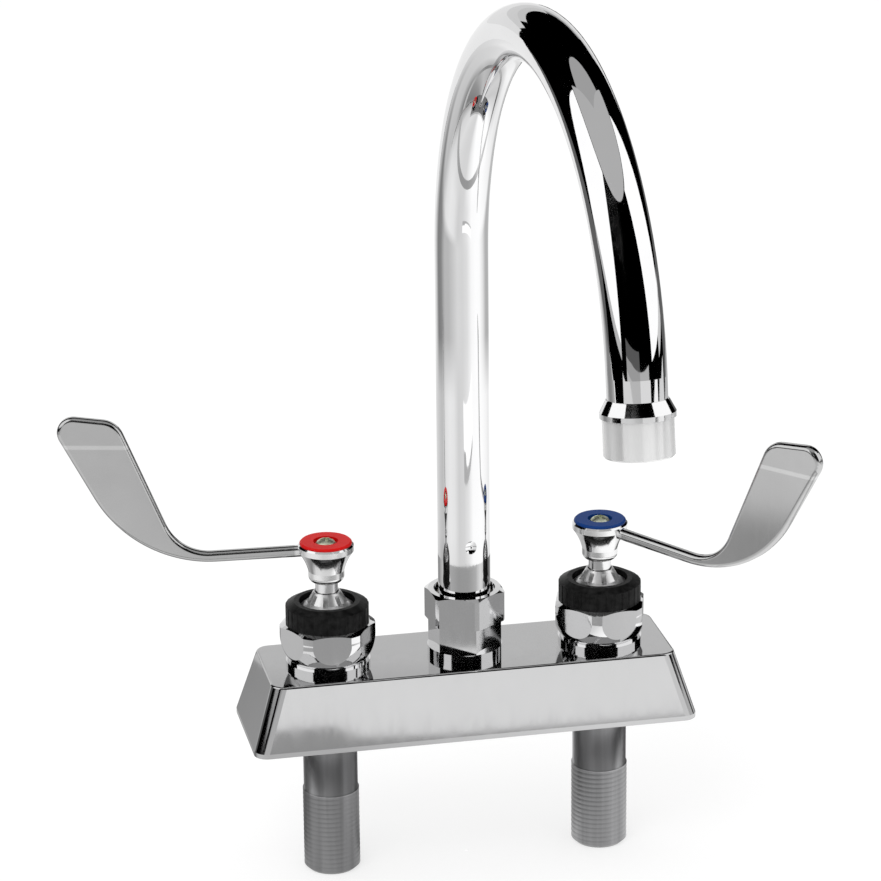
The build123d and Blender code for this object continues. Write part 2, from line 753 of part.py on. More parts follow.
def turned_on_outlet(outline):
    """A solid of revolution about the outlet's own axis."""
    with BuildPart() as piece:
        with BuildSketch(outlet_side):
            with BuildLine():
                Polyline(*outline, close=True)
            make_face()
        revolve(axis=outlet_axis)
    return piece.part


sleeve = spout_diameter / 2 + braze_gap
tip_bottom = -tip_rim_height
spigot_bottom = tip_bottom - tip_spigot_length
aerator_bottom = tip_bottom - aerator_height
washer_top = spigot_bottom
insert_top = washer_top - aerator_washer_height
insert_bottom = aerator_bottom + aerator_lip_height
aerator_bore = aerator_diameter / 2 - aerator_wall

outlet_collar = turned_on_outlet([
    (sleeve, 0), (sleeve, tip_flare_height), (sleeve + tip_flare_edge, tip_flare_height),
    (tip_rim_diameter / 2, 0), (tip_rim_diameter / 2, tip_bottom), (tip_spigot_diameter / 2, tip_bottom),
    (tip_spigot_diameter / 2, spigot_bottom), (tip_bore / 2, spigot_bottom), (tip_bore / 2, 0)])
aerator_housing = turned_on_outlet([
    (aerator_bore, tip_bottom), (aerator_diameter / 2, tip_bottom),
    (aerator_diameter / 2, aerator_bottom + aerator_edge),
    (aerator_diameter / 2 - aerator_edge, aerator_bottom), (aerator_bore - aerator_lip_width, aerator_bottom),
    (aerator_bore - aerator_lip_width, insert_bottom), (aerator_bore, insert_bottom)])
aerator_washer = turned_on_outlet([
    (tip_bore / 2, washer_top), (aerator_bore - braze_gap, washer_top),
    (aerator_bore - braze_gap, insert_top), (tip_bore / 2, insert_top)])

# Aerator insert: a cup with a floor of small holes in rings
with BuildPart() as aerator_insert:
    with BuildSketch(outlet_side):
        with BuildLine():
            Polyline((0, insert_bottom), (aerator_bore - braze_gap, insert_bottom),
                     (aerator_bore - braze_gap, insert_top), (tip_bore / 2, insert_top),
                     (tip_bore / 2, insert_bottom + insert_screen_height),
                     (0, insert_bottom + insert_screen_height), close=True)
        make_face()
    revolve(axis=outlet_axis)
    with BuildSketch(Plane(origin=outlet_side.from_local_coords((0, insert_bottom - overrun, 0)),
                           x_dir=outlet_side.x_dir, z_dir=outlet_side.y_dir)):
        Circle(insert_hole_diameter / 2)
        for ring in range(1, insert_hole_rings):
            with PolarLocations(ring * insert_hole_pitch, ring * insert_holes_per_ring):
                Circle(insert_hole_diameter / 2)
    extrude(amount=insert_screen_height + 2 * overrun, mode=Mode.SUBTRACT)

pieces = {
    "base_body": base_body.part,
    "spout_post": spout_post.part,
    "spout_nut": spout_nut.part,
    "spout_tube": spout_tube.part,
    "spout_ferrule": spout_ferrule.part,
    "spout_seal_rings": spout_seal_rings.part,
    "swivel_collar": washer(0, swivel_collar_bottom, collar_height, swivel_collar_diameter,
                            spout_diameter + 2 * braze_gap),
    "lower_swivel_washer": washer(0, post_top, washer_height, swivel_collar_diameter,
                                  spout_diameter + 2 * slide_clearance),
    "upper_swivel_washer": washer(0, upper_washer_bottom, washer_height, swivel_collar_diameter,
                                  spout_diameter + 2 * slide_clearance),
    "outlet_collar": outlet_collar,
    "aerator_housing": aerator_housing,
    "aerator_washer": aerator_washer,
    "aerator_insert": aerator_insert.part,
}

for side, x in valve_x.items():
    angle = blade_angles[side]
    closed = closed_angles[side]
    pieces[side + "_shank"] = shank(x)
    pieces[side + "_bonnet"] = bonnet(x, bonnet_angles[side])
    pieces[side + "_bonnet_joint_ring"] = round_ring(x, joint_ring_height, joint_ring_radius,
                                                    joint_ring_section)
    pieces[side + "_grip_ring"] = grip_ring(x)
    pieces[side + "_gland"] = gland(x, closed)
    pieces[side + "_packing"] = washer(x, packing_bottom, packing_height, packing_bore - 2 * thread_clearance,
                                       stem_diameter + 2 * slide_clearance)
    pieces[side + "_cartridge"] = cartridge(x, closed)
    pieces[side + "_seat_seal"] = washer(x, seat_height, seal_height, seal_diameter, seal_bore)
    pieces[side + "_fixed_disc"] = ceramic_disc(x, fixed_disc_bottom, closed, False)
    pieces[side + "_turning_disc"] = ceramic_disc(x, turning_disc_bottom, angle + quarter_angle, True)
    pieces[side + "_stem"] = stem(x, angle + quarter_angle)
    stem_ring_radius = stem_groove_diameter / 2 + stem_ring_section / 2 + braze_gap
    pieces[side + "_stem_seal_ring"] = round_ring(x, stem_groove_height, stem_ring_radius, stem_ring_section)
    pieces[side + "_wrist_handle"] = wrist_handle(x, angle)
    pieces[side + "_index_ring"] = index_ring(x)
    pieces[side + "_handle_screw"] = handle_screw(x)

for name, piece in pieces.items():
    piece.label = name
    export_step(piece, "parts/" + name + ".step")
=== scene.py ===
import json
from math import cos, radians, sin

import bpy
import numpy as np
from mathutils import Matrix, Vector


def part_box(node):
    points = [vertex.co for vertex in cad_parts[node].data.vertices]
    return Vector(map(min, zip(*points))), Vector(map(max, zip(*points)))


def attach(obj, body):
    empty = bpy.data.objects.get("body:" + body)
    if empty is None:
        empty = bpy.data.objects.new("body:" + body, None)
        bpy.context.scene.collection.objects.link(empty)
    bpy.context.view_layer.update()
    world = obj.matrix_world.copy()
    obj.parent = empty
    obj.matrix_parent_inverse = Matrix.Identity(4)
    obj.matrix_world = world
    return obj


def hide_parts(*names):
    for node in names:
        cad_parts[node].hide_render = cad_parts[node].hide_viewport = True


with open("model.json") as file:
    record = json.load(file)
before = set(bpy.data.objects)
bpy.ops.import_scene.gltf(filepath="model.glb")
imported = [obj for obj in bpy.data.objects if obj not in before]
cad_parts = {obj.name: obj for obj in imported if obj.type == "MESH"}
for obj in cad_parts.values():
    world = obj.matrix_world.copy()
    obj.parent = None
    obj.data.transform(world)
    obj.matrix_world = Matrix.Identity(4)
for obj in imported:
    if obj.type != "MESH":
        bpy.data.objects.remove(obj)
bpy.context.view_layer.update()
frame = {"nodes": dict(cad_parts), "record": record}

# Sizes are in metres and angles in degrees, unless a name says otherwise.
VALVE_X = {"hot": -0.0508, "cold": 0.0508}

# The floor, which lies at the foot of the shanks. The innermost ring of a disc is so small that
# its centre looks closed.
FLOOR_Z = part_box("hot_shank")[0].z
FLOOR_RADIUS = 7.0
FLOOR_FIRST_RING = 0.02
FLOOR_GRID = (24, 64)
FLOOR_PAINT = (0.42, 0.42, 0.42, 1.0)
FLOOR_LIFT = (0.66, 0.66, 0.66, 1.0)
DISC_HOLE = 0.0005

# The room that reflections see: part spheres round a centre, and rings round the tap
STUDIO_CENTRE = Vector((0.0, -0.08, 0.12))
SURROUND_RADIUS = 1.05
SURROUND_ELEVATIONS = (-12, 90)
CARD_RADIUS = 0.98
CARD_GRID = (25, 49)
RING_GRID = (12, 96)
MAT_Z = FLOOR_Z + 0.0006
MIDDLE_BLEND = (0.26, 0.35)
FAR_BLEND = (0.55, 0.65)
FENCE_RADIUS = 0.21
FENCE_BOTTOM = -0.050
FENCE_TOP = -0.0155

# Levels by the direction from the tap, in degrees from the front towards +X. The low fence shows
# in the hexagons, the near floor under the bend, the middle floor in the blades and the foot of
# the gooseneck, and the far floor in its upper stretch.
FENCE_LEVELS = [(-90, 0.50), (-60, 0.42), (-36, 0.36), (4, 0.37), (20, 0.42), (40, 0.50), (62, 0.82),
                (84, 0.65), (100, 0.70), (112, 0.30), (124, 0.12), (138, 0.30), (158, 0.52),
                (180, 0.42), (204, 0.26), (225, 0.45), (244, 0.60), (270, 0.50)]
NEAR_LEVELS = [(-90, 0.80), (-70, 0.88), (-50, 0.82), (-30, 0.79), (-10, 0.80), (10, 1.03), (30, 1.2),
               (95, 1.2), (115, 0.85), (130, 0.70), (150, 0.75), (190, 0.50), (210, 0.60),
               (230, 0.35), (250, 0.25), (270, 0.80)]
MIDDLE_LEVELS = [(-90, 0.90), (-70, 0.97), (-50, 0.93), (-30, 0.75), (-10, 0.79), (10, 0.92),
                 (30, 1.17), (70, 1.2), (90, 1.15), (110, 1.08), (130, 0.95), (150, 1.05),
                 (180, 0.85), (205, 0.76), (230, 0.66), (250, 0.60), (270, 0.90)]
FAR_LEVELS = [(-90, 0.56), (-70, 0.57), (-50, 0.68), (-30, 0.81), (-10, 0.79), (10, 0.87), (30, 1.13),
              (50, 1.2), (70, 1.18), (90, 0.93), (110, 0.54), (130, 0.50), (150, 0.60), (175, 0.94),
              (195, 0.92), (212, 0.70), (230, 0.24), (250, 0.28), (270, 0.56)]

# The even cards of the surroundings: name, azimuths from the front, elevations and level
STUDIO_CARDS = [
    ("front_low_left", (-58, 0), (-12, 0), 0.76),
    ("front_step_left", (-42, 0), (0, 3), 0.55),
    ("front_dim_left", (-42, 0), (3, 6), 0.38),
    ("front_top_left", (-42, 0), (6, 11), 0.11),
    ("front_low_right", (0, 62), (-12, -1), 1.05),
    ("front_step_right", (0, 34), (-1, 3), 0.82),
    ("front_dim_right", (0, 30), (3, 6), 0.50),
    ("side_low_right", (62, 96), (-12, -4), 0.76),
    ("left_softbox", (-117, -58), (6, 56), 1.2),
    ("left_softbox_foot", (-117, -58), (2, 6), 0.55),
    ("right_softbox", (43, 104), (5, 56), 1.2),
    ("right_softbox_foot", (76, 110), (0, 5), 0.70),
    ("overhead_front", (-120, 120), (57, 90), 0.49),
    ("overhead_back", (120, 240), (66, 90), 0.40),
    ("back_wall_foot", (165, 208), (-12, 6), 0.93),
    ("back_wall", (142, 207), (6, 16), 0.83),
    ("side_foot_right", (104, 165), (-12, 3), 0.13),
    ("side_foot_left", (208, 243), (-12, 3), 0.13),
    ("back_wall_middle", (142, 206), (16, 23), 0.69),
    ("back_wall_top", (166, 200), (23, 29), 0.62),
    ("back_wall_top_right", (148, 166), (23, 27), 0.34),
]

# Two upright cards before the tap, for the casting's front: a bright one, and in front of it a
# darker strip for the foot. Their top edges are given as x and height.
LOW_CARD_FOOT = -0.031
REFLECTOR_DISTANCE = 0.36
REFLECTOR_TOP = [(-0.06, 0.006), (0.20, 0.006)]
REFLECTOR_LEVEL = 1.27
STRIP_DISTANCE = 0.355
STRIP_TOP = [(-0.06, -0.0155), (0.0, -0.0155), (0.004, -0.018), (0.012, -0.0215), (0.053, -0.0240),
             (0.20, -0.0255)]
STRIP_LEVEL = 0.50
LOW_CARD_ROWS = 5

# The world's strength for rough surfaces, and for the camera, mirrors and clear pieces
EVEN_LIGHT = 0.8
WHITE_LIGHT = 1.0

LAMP_PLACE = Vector((-0.7, -0.9, 1.3))
LAMP_AIM = Vector((0.0, -0.05, 0.1))
LAMP_SIZE = 0.8
LAMP_WATTS = 6.0

# The camera that was fitted to the photograph
CAMERA_PLACE = Vector((-0.26827, -1.26226, 0.55257))
CAMERA_YAW = radians(11.64)
CAMERA_PITCH = radians(19.07)
CAMERA_ROLL = radians(-0.609)
CAMERA_REACH = 50.0
SENSOR_WIDTH_MM = 36.0
FOCAL_PIXELS = 3800.3
PHOTO_PIXELS = 881

# Grain, clouds and bumps of the finishes. Scales are per metre, depths in metres.
GRAIN_SCALE = 700.0
GRAIN_DEPTH = 0.00002
GRAIN_BUMP = 0.3
SATIN_CLOUD = {"Scale": 60.0, "Low": 0.95, "High": 1.02}
CHROME_CLOUD = {"Scale": 45.0, "Low": 0.97, "High": 1.0}
CHROME_BUMP = 0.5
MOULDED_BUMP = 0.4
PIPE_GRAIN_SCALE = 260.0
PIPE_STREAKS = {"Scale": 170.0, "Low": 0.35, "High": 1.6}

# The handles: radius over which the polished hub ends, and heights of the pale band across the
# blades, which is a painted highlight
HANDLE_GREY = (0.52, 0.52, 0.52)
HANDLE_GLOSS = (0.10, 0.15)
HUB_EDGE = (0.0108, 0.0116)
HUB_GAIN = 1.6
PAINTED_HIGHLIGHT_FOOT = (0.1072, 0.1076)
PAINTED_HIGHLIGHT_HEAD = (0.1087, 0.1091)
PAINTED_HIGHLIGHT_GAIN = 1.27

# Heights over which the shank's colour factor goes from the thread's to the much lighter one of the
# plain pipe: painted light against the shade under the casting
PIPE_PAINTED_LIGHT_HEIGHTS = (-0.0245, -0.0235)
PIPE_PAINTED_LIGHT_GAINS = (0.85, 1.9)

# Shank threads, 14 turns to the inch. They fade out over some rows of the grid at each end.
THREAD_PITCH = 0.0254 / 14
THREAD_DEPTH = 0.00009
THREAD_SHARPNESS = 1.5
THREAD_RADIUS = 0.01035
THREAD_TOP = -0.024
THREAD_GRID = (300, 96)
THREAD_END_ROWS = 12
RELIEF_RADIUS = 0.00995
SHANK_BOTTOM = -0.0555
SHANK_TOP = 0.001
SHANK_BORE = 0.00635
SHANK_CHAMFER = 0.0014

# Blender's Mix node has sockets of the same name for each kind of data, so its colour sockets
# are taken by number.
MIX_FIRST = 6
MIX_SECOND = 7
MIX_RESULT = 2


def mesh_object(name, points, faces, body):
    """A new smooth object from points and faces, riding on a CAD body, or on none for the stage."""
    mesh = bpy.data.meshes.new(name)
    mesh.from_pydata([tuple(p) for p in points], [], [tuple(f) for f in faces])
    mesh.update()
    mesh.polygons.foreach_set("use_smooth", [True] * len(mesh.polygons))
    piece = bpy.data.objects.new(name, mesh)
    bpy.context.scene.collection.objects.link(piece)
    if body is None:
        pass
    else:
        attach(piece, body)
    return piece


def grid_faces(rows, columns, close_rows=False, close_columns=False):
    """The four-sided faces of a grid of points, row by row, joined round where it closes."""
    i = np.arange(rows if close_rows else rows - 1)[:, None]
    j = np.arange(columns if close_columns else columns - 1)[None, :]
    a = i * columns + j
    b = i * columns + (j + 1) % columns
    c = ((i + 1) % rows) * columns + (j + 1) % columns
    d = ((i + 1) % rows) * columns + j
    return np.stack(np.broadcast_arrays(a, b, c, d), axis=-1).reshape(-1, 4)


# Node trees


def plain_material(name):
    """A node material with its tree and its Principled shader."""
    material = bpy.data.materials.new(name)
    material.use_nodes = True
    tree = material.node_tree
    return material, tree, tree.nodes["Principled BSDF"]


def bare_material(name):
    """A node material whose tree is empty, and that tree."""
    material = bpy.data.materials.new(name)
    material.use_nodes = True
    tree = material.node_tree
    tree.nodes.clear()
    return material, tree


def add(tree, kind, **values):
    """A node with its settings and the values of its input sockets, by name."""
    node = tree.nodes.new(kind)
    for key, value in values.items():
        if key in node.inputs:
            node.inputs[key].default_value = value
        elif hasattr(node, key):
            setattr(node, key, value)
        else:
            node.inputs[key.replace("_", " ")].default_value = value
    return node


def group_of(name, inputs, outputs):
    """An empty node group with named value inputs and outputs."""
    tree = bpy.data.node_groups.new(name, "ShaderNodeTree")
    for title, start in inputs:
        socket = tree.interface.new_socket(title, in_out="INPUT", socket_type="NodeSocketFloat")
        socket.default_value = start
    for title in outputs:
        tree.interface.new_socket(title, in_out="OUTPUT", socket_type="NodeSocketFloat")
    return tree, tree.nodes.new("NodeGroupInput"), tree.nodes.new("NodeGroupOutput")


def object_noise(tree, scale_socket, stretch, detail):
    """Noise on Object coordinates stretched by a vector, at the scale that a socket gives."""
    place = add(tree, "ShaderNodeTexCoord")
    mapping = add(tree, "ShaderNodeMapping", Scale=stretch)
    noise = add(tree, "ShaderNodeTexNoise", Detail=detail, Roughness=0.55)
    tree.links.new(place.outputs["Object"], mapping.inputs["Vector"])
    tree.links.new(mapping.outputs["Vector"], noise.inputs["Vector"])
    tree.links.new(scale_socket, noise.inputs["Scale"])
    return noise


def spread_noise(tree, noise, low_socket, high_socket, **span):
    """The noise's values spread between the values of two sockets."""
    spread = add(tree, "ShaderNodeMapRange", **span)
    tree.links.new(noise.outputs["Fac"], spread.inputs["Value"])
    tree.links.new(low_socket, spread.inputs["To Min"])
    tree.links.new(high_socket, spread.inputs["To Max"])
    return spread.outputs["Result"]


def build_polish():
    """Polish: soft waves left by buffing, and faint wipe marks that vary the gloss."""
    tree, given, result = group_of("polish", [("Wave scale", 60.0), ("Mark scale", 300.0),
                                              ("Gloss low", 0.04), ("Gloss high", 0.09)],
                                   ["Waves", "Roughness"])
    waves = object_noise(tree, given.outputs["Wave scale"], stretch=(1.0, 1.0, 0.6), detail=1.5)
    marks = object_noise(tree, given.outputs["Mark scale"], stretch=(1.0, 1.0, 0.25), detail=4.0)
    gloss = spread_noise(tree, marks, given.outputs["Gloss low"], given.outputs["Gloss high"],
                         From_Min=0.35, From_Max=0.75)
    tree.links.new(waves.outputs["Fac"], result.inputs["Waves"])
    tree.links.new(gloss, result.inputs["Roughness"])
    return tree


def build_grain():
    """Fine upright lines, as a satin belt leaves them."""
    tree, given, result = group_of("upright_grain", [("Scale", 900.0), ("Low", 0.3), ("High", 0.45)],
                                   ["Height", "Roughness"])
    lines = object_noise(tree, given.outputs["Scale"], stretch=(1.0, 1.0, 0.03), detail=3.0)
    gloss = spread_noise(tree, lines, given.outputs["Low"], given.outputs["High"])
    tree.links.new(lines.outputs["Fac"], result.inputs["Height"])
    tree.links.new(gloss, result.inputs["Roughness"])
    return tree


def build_mottle():
    """Cloudy variation between two shades, for moulded, plated and rubber surfaces."""
    tree, given, result = group_of("mottle", [("Scale", 120.0), ("Low", 0.9), ("High", 1.05)],
                                   ["Shade", "Height"])
    cloud = object_noise(tree, given.outputs["Scale"], stretch=(1.0, 1.0, 1.0), detail=5.0)
    shade = spread_noise(tree, cloud, given.outputs["Low"], given.outputs["High"],
                         From_Min=0.3, From_Max=0.7)
    tree.links.new(shade, result.inputs["Shade"])
    tree.links.new(cloud.outputs["Fac"], result.inputs["Height"])
    return tree


polish = build_polish()
upright_grain = build_grain()
round_mottle = build_mottle()


def placed(tree, group, **values):
    """A shader group set into a material with its own values."""
    node = tree.nodes.new("ShaderNodeGroup")
    node.node_tree = group
    for title, value in values.items():
        node.inputs[title.replace("_", " ")].default_value = value
    return node


def shade_colour(tree, shader, colour, factor_socket):
    """Base colour times a varying factor."""
    mix = add(tree, "ShaderNodeMix", data_type="RGBA", blend_type="MULTIPLY")
    mix.inputs["Factor"].default_value = 1.0
    mix.inputs[MIX_FIRST].default_value = (*colour, 1.0)
    tree.links.new(factor_socket, mix.inputs[MIX_SECOND])
    tree.links.new(mix.outputs[MIX_RESULT], shader.inputs["Base Color"])


def bump(tree, shader, height_socket, strength, distance):
    """Bump from a height, as a depth in metres."""
    node = add(tree, "ShaderNodeBump", Strength=strength, Distance=distance)
    tree.links.new(height_socket, node.inputs["Height"])
    tree.links.new(node.outputs["Normal"], shader.inputs["Normal"])


def times(tree, first_socket, second_socket):
    """The product of two values."""
    node = add(tree, "ShaderNodeMath", operation="MULTIPLY")
    tree.links.new(first_socket, node.inputs[0])
    tree.links.new(second_socket, node.inputs[1])
    return node.outputs["Value"]


def span_factor(tree, value_socket, span, factors):
    """A factor that goes from the first to the second as a value crosses a span."""
    node = tree.nodes.new("ShaderNodeMapRange")
    titles = ("From Min", "From Max", "To Min", "To Max")
    for title, value in zip(titles, (*span, *factors)):
        node.inputs[title].default_value = value
    tree.links.new(value_socket, node.inputs["Value"])
    return node.outputs["Result"]


def object_height(tree):
    """The height of the point, from its Object coordinates."""
    place = tree.nodes.new("ShaderNodeTexCoord")
    height = tree.nodes.new("ShaderNodeSeparateXYZ")
    tree.links.new(place.outputs["Object"], height.inputs["Vector"])
    return height.outputs["Z"]


def axis_distance(tree, axis_x):
    """The distance of the point from the upright axis at x, from its Object coordinates."""
    place = tree.nodes.new("ShaderNodeTexCoord")
    from_axis = add(tree, "ShaderNodeVectorMath", operation="SUBTRACT")
    from_axis.inputs[1].default_value = (axis_x, 0.0, 0.0)
    sideways = add(tree, "ShaderNodeVectorMath", operation="MULTIPLY")
    sideways.inputs[1].default_value = (1.0, 1.0, 0.0)
    radius = add(tree, "ShaderNodeVectorMath", operation="LENGTH")
    tree.links.new(place.outputs["Object"], from_axis.inputs[0])
    tree.links.new(from_axis.outputs["Vector"], sideways.inputs[0])
    tree.links.new(sideways.outputs["Vector"], radius.inputs[0])
    return radius.outputs["Value"]


# Finishes. Low and high are the ends of the roughness.


def chrome_finish(name, colour, low, high, wave_depth, wave_scale=60.0):
    """Bright nickel-chrome plate over polished brass."""
    material, tree, shader = plain_material(name)
    shader.inputs["Metallic"].default_value = 1.0
    marks = placed(tree, polish, Wave_scale=wave_scale, Gloss_low=low, Gloss_high=high)
    cloud = placed(tree, round_mottle, **CHROME_CLOUD)
    shade_colour(tree, shader, colour, cloud.outputs["Shade"])
    tree.links.new(marks.outputs["Roughness"], shader.inputs["Roughness"])
    bump(tree, shader, marks.outputs["Waves"], CHROME_BUMP, wave_depth)
    return material


def satin_finish(name, colour, low, high, metal=1.0, factors=None):
    """Satin plate with a fine grain. What factors adds to the tree also varies the colour."""
    material, tree, shader = plain_material(name)
    shader.inputs["Metallic"].default_value = metal
    grain = placed(tree, upright_grain, Scale=GRAIN_SCALE, Low=low, High=high)
    shade = placed(tree, round_mottle, **SATIN_CLOUD).outputs["Shade"]
    for factor in factors(tree) if factors else ():
        shade = times(tree, shade, factor)
    shade_colour(tree, shader, colour, shade)
    tree.links.new(grain.outputs["Roughness"], shader.inputs["Roughness"])
    bump(tree, shader, grain.outputs["Height"], GRAIN_BUMP, GRAIN_DEPTH)
    return material


def handle_finish(name, axis_x):
    """Satin plate of a wrist handle: brighter on the polished hub round its axis, with one pale band
    across the blade that is a painted highlight."""
    def hub_and_highlight_band(tree):
        """Factors of the hub, and of the lower and upper edge of the painted highlight band."""
        hub = span_factor(tree, axis_distance(tree, axis_x), HUB_EDGE, (HUB_GAIN, 1.0))
        height = object_height(tree)
        # Painted highlight: the blade's colour is lighter between these two heights.
        rise = span_factor(tree, height, PAINTED_HIGHLIGHT_FOOT, (1.0, PAINTED_HIGHLIGHT_GAIN))
        fall = span_factor(tree, height, PAINTED_HIGHLIGHT_HEAD, (1.0, 1.0 / PAINTED_HIGHLIGHT_GAIN))
        return hub, rise, fall
    return satin_finish(name, HANDLE_GREY, *HANDLE_GLOSS, factors=hub_and_highlight_band)


def streaked_finish(name, colour, low, high, fade, painted_light_gains):
    """Dull plate on a thread, with light and dark streaks that run up the pipe. Over the fade's
    heights the colour's factor goes from the first of the painted light factors to the second, so
    that the plain pipe under the casting is painted lighter against its shade."""
    material, tree, shader = plain_material(name)
    shader.inputs["Metallic"].default_value = 1.0
    grain = placed(tree, upright_grain, Scale=PIPE_GRAIN_SCALE, Low=low, High=high)
    streaks = placed(tree, upright_grain, **PIPE_STREAKS)
    # Painted light: the plain pipe under the casting is made lighter in colour against the casting's
    # shade.
    painted_light_factor = span_factor(tree, object_height(tree), fade, painted_light_gains)
    shade_colour(tree, shader, colour, times(tree, painted_light_factor, streaks.outputs["Roughness"]))
    tree.links.new(grain.outputs["Roughness"], shader.inputs["Roughness"])
    return material


def moulded_finish(name, colour, roughness, scale, depth, specular=0.5, shades=(0.88, 1.05)):
    """Moulded plastic, rubber or ceramic with a faint skin texture."""
    material, tree, shader = plain_material(name)
    shader.inputs["Roughness"].default_value = roughness
    shader.inputs["Specular IOR Level"].default_value = specular
    cloud = placed(tree, round_mottle, Scale=scale, Low=shades[0], High=shades[1])
    shade_colour(tree, shader, colour, cloud.outputs["Shade"])
    bump(tree, shader, cloud.outputs["Height"], MOULDED_BUMP, depth)
    return material


finishes = {
    "base_chrome": chrome_finish("base_plate", (0.52, 0.52, 0.523), 0.05, 0.09, 0.00002, 30.0),
    "chrome": chrome_finish("bright_chrome", (0.80, 0.80, 0.805), 0.05, 0.10, 0.00002),
    "tube_chrome": chrome_finish("tube_chrome", (0.84, 0.84, 0.845), 0.02, 0.05, 0.00001, 20.0),
    "satin_handle": satin_finish("satin_plate", HANDLE_GREY, *HANDLE_GLOSS),
    "hot_handle_plate": handle_finish("hot_handle_plate", VALVE_X["hot"]),
    "cold_handle_plate": handle_finish("cold_handle_plate", VALVE_X["cold"]),
    "shank_brass": streaked_finish("shank_plate", (0.30, 0.30, 0.305), 0.30, 0.45, PIPE_PAINTED_LIGHT_HEIGHTS,
                                   PIPE_PAINTED_LIGHT_GAINS),
    "outlet_plate": satin_finish("outlet_plate", (0.96, 0.96, 0.96), 0.18, 0.26, metal=0.6),
    "gland_plate": satin_finish("gland_plate", (0.80, 0.80, 0.80), 0.30, 0.45),
    "black_plastic": moulded_finish("black_grip", (0.005, 0.005, 0.005), 0.40, 420.0, 0.0003,
                                    specular=0.12, shades=(0.1, 3.2)),
    "hot_index": moulded_finish("red_index", (0.70, 0.003, 0.003), 0.45, 90.0, 0.00001,
                                specular=0.12),
    "cold_index": moulded_finish("blue_index", (0.003, 0.045, 0.22), 0.45, 90.0, 0.00001,
                                 specular=0.12),
    "brass_screw": satin_finish("screw_brass", (0.80, 0.84, 0.66), 0.35, 0.45),
    "brass": satin_finish("machined_brass", (0.72, 0.52, 0.22), 0.25, 0.4),
    "ceramic": moulded_finish("ground_ceramic", (0.86, 0.85, 0.82), 0.25, 200.0, 0.00001),
    "rubber": moulded_finish("seal_rubber", (0.02, 0.02, 0.02), 0.6, 500.0, 0.00005),
    "slip_plastic": moulded_finish("slip_washer", (0.82, 0.82, 0.78), 0.45, 200.0, 0.00002),
    "screen_plastic": moulded_finish("screen_plastic", (0.7, 0.7, 0.68), 0.4, 200.0, 0.00002),
}


def dress(piece, finish):
    """Gives a piece or a CAD node a finish, in place of what it had."""
    piece.data.materials.clear()
    piece.data.materials.append(finishes[finish])


# Every node gets the finish of its slot. A few look different and then get one of their own.
for row in frame["record"]["subparts"]:
    dress(frame["nodes"][row["node"]], row["material_slot"])
for side in VALVE_X:
    dress(frame["nodes"][side + "_gland"], "gland_plate")
    dress(frame["nodes"][side + "_wrist_handle"], side + "_handle_plate")
dress(frame["nodes"]["aerator_housing"], "outlet_plate")


# New pieces


def threaded_shank(side):
    """Inlet pipe with its thread. The point at angle a and profile step k lies at the profile's
    radius and height; on the threaded stretch the radius drops by the thread depth times a
    rounded wave of the height in pitches less the angle in turns."""
    steps, around = THREAD_GRID
    stretch = np.linspace(SHANK_BOTTOM + SHANK_CHAMFER, THREAD_TOP, steps)
    profile_r = np.concatenate([[SHANK_BORE, THREAD_RADIUS - SHANK_CHAMFER],
                                np.full(steps, THREAD_RADIUS),
                                [RELIEF_RADIUS, RELIEF_RADIUS, SHANK_BORE]])
    profile_z = np.concatenate([[SHANK_BOTTOM, SHANK_BOTTOM], stretch,
                                [THREAD_TOP, SHANK_TOP, SHANK_TOP]])
    rows_to_end = np.minimum(np.arange(steps), np.arange(steps)[::-1])
    cut = np.zeros(len(profile_r))
    cut[2:2 + steps] = np.clip(rows_to_end / THREAD_END_ROWS, 0, 1)
    angle = np.linspace(0, 2 * np.pi, around, endpoint=False)[None, :]
    turns = profile_z[:, None] / THREAD_PITCH - angle / (2 * np.pi)
    wave = 0.5 - 0.5 * np.cos(2 * np.pi * turns)
    radius = profile_r[:, None] - THREAD_DEPTH * cut[:, None] * wave ** THREAD_SHARPNESS
    points = np.stack([VALVE_X[side] + radius * np.cos(angle), radius * np.sin(angle),
                       np.broadcast_to(profile_z[:, None], radius.shape)], axis=-1)
    faces = grid_faces(len(profile_r), around, close_rows=True, close_columns=True)
    piece = mesh_object(side + "_shank_threaded", points.reshape(-1, 3), faces, "fixed_body")
    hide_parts(side + "_shank")
    dress(piece, "shank_brass")


for side in VALVE_X:
    threaded_shank(side)


# Stage, lamps and camera


def glow(name, level):
    """Glow of one even level."""
    material, tree = bare_material(name)
    tone = add(tree, "ShaderNodeEmission", Color=(level, level, level, 1.0))
    out = tree.nodes.new("ShaderNodeOutputMaterial")
    tree.links.new(tone.outputs["Emission"], out.inputs["Surface"])
    return material


def reflection_card(name, points, faces, material):
    """A glowing piece of the stage that only mirroring surfaces see."""
    card = mesh_object(name, points.reshape(-1, 3), faces, None)
    card.data.materials.append(material)
    card.visible_camera = False
    card.visible_diffuse = False
    card.visible_shadow = False


def studio_card(name, azimuths, elevations, radius, level):
    """Part of a sphere round the tap: azimuth a from the front towards +X, elevation e, both in
    degrees, at the radius from the studio's centre."""
    rows, columns = CARD_GRID
    a = np.radians(np.linspace(*azimuths, columns))[None, :]
    e = np.radians(np.linspace(*elevations, rows))[:, None]
    points = np.stack([STUDIO_CENTRE.x + radius * np.sin(a) * np.cos(e),
                       STUDIO_CENTRE.y - radius * np.cos(a) * np.cos(e),
                       STUDIO_CENTRE.z + radius * np.sin(e) + 0 * a], axis=-1)
    reflection_card(name, points, grid_faces(rows, columns), glow(name + "_tone", level))


studio_card("dark_surround", (0, 360), SURROUND_ELEVATIONS, SURROUND_RADIUS, 0.0)
for title, azimuths, elevations, level in STUDIO_CARDS:
    studio_card(title, azimuths, elevations, CARD_RADIUS, level)


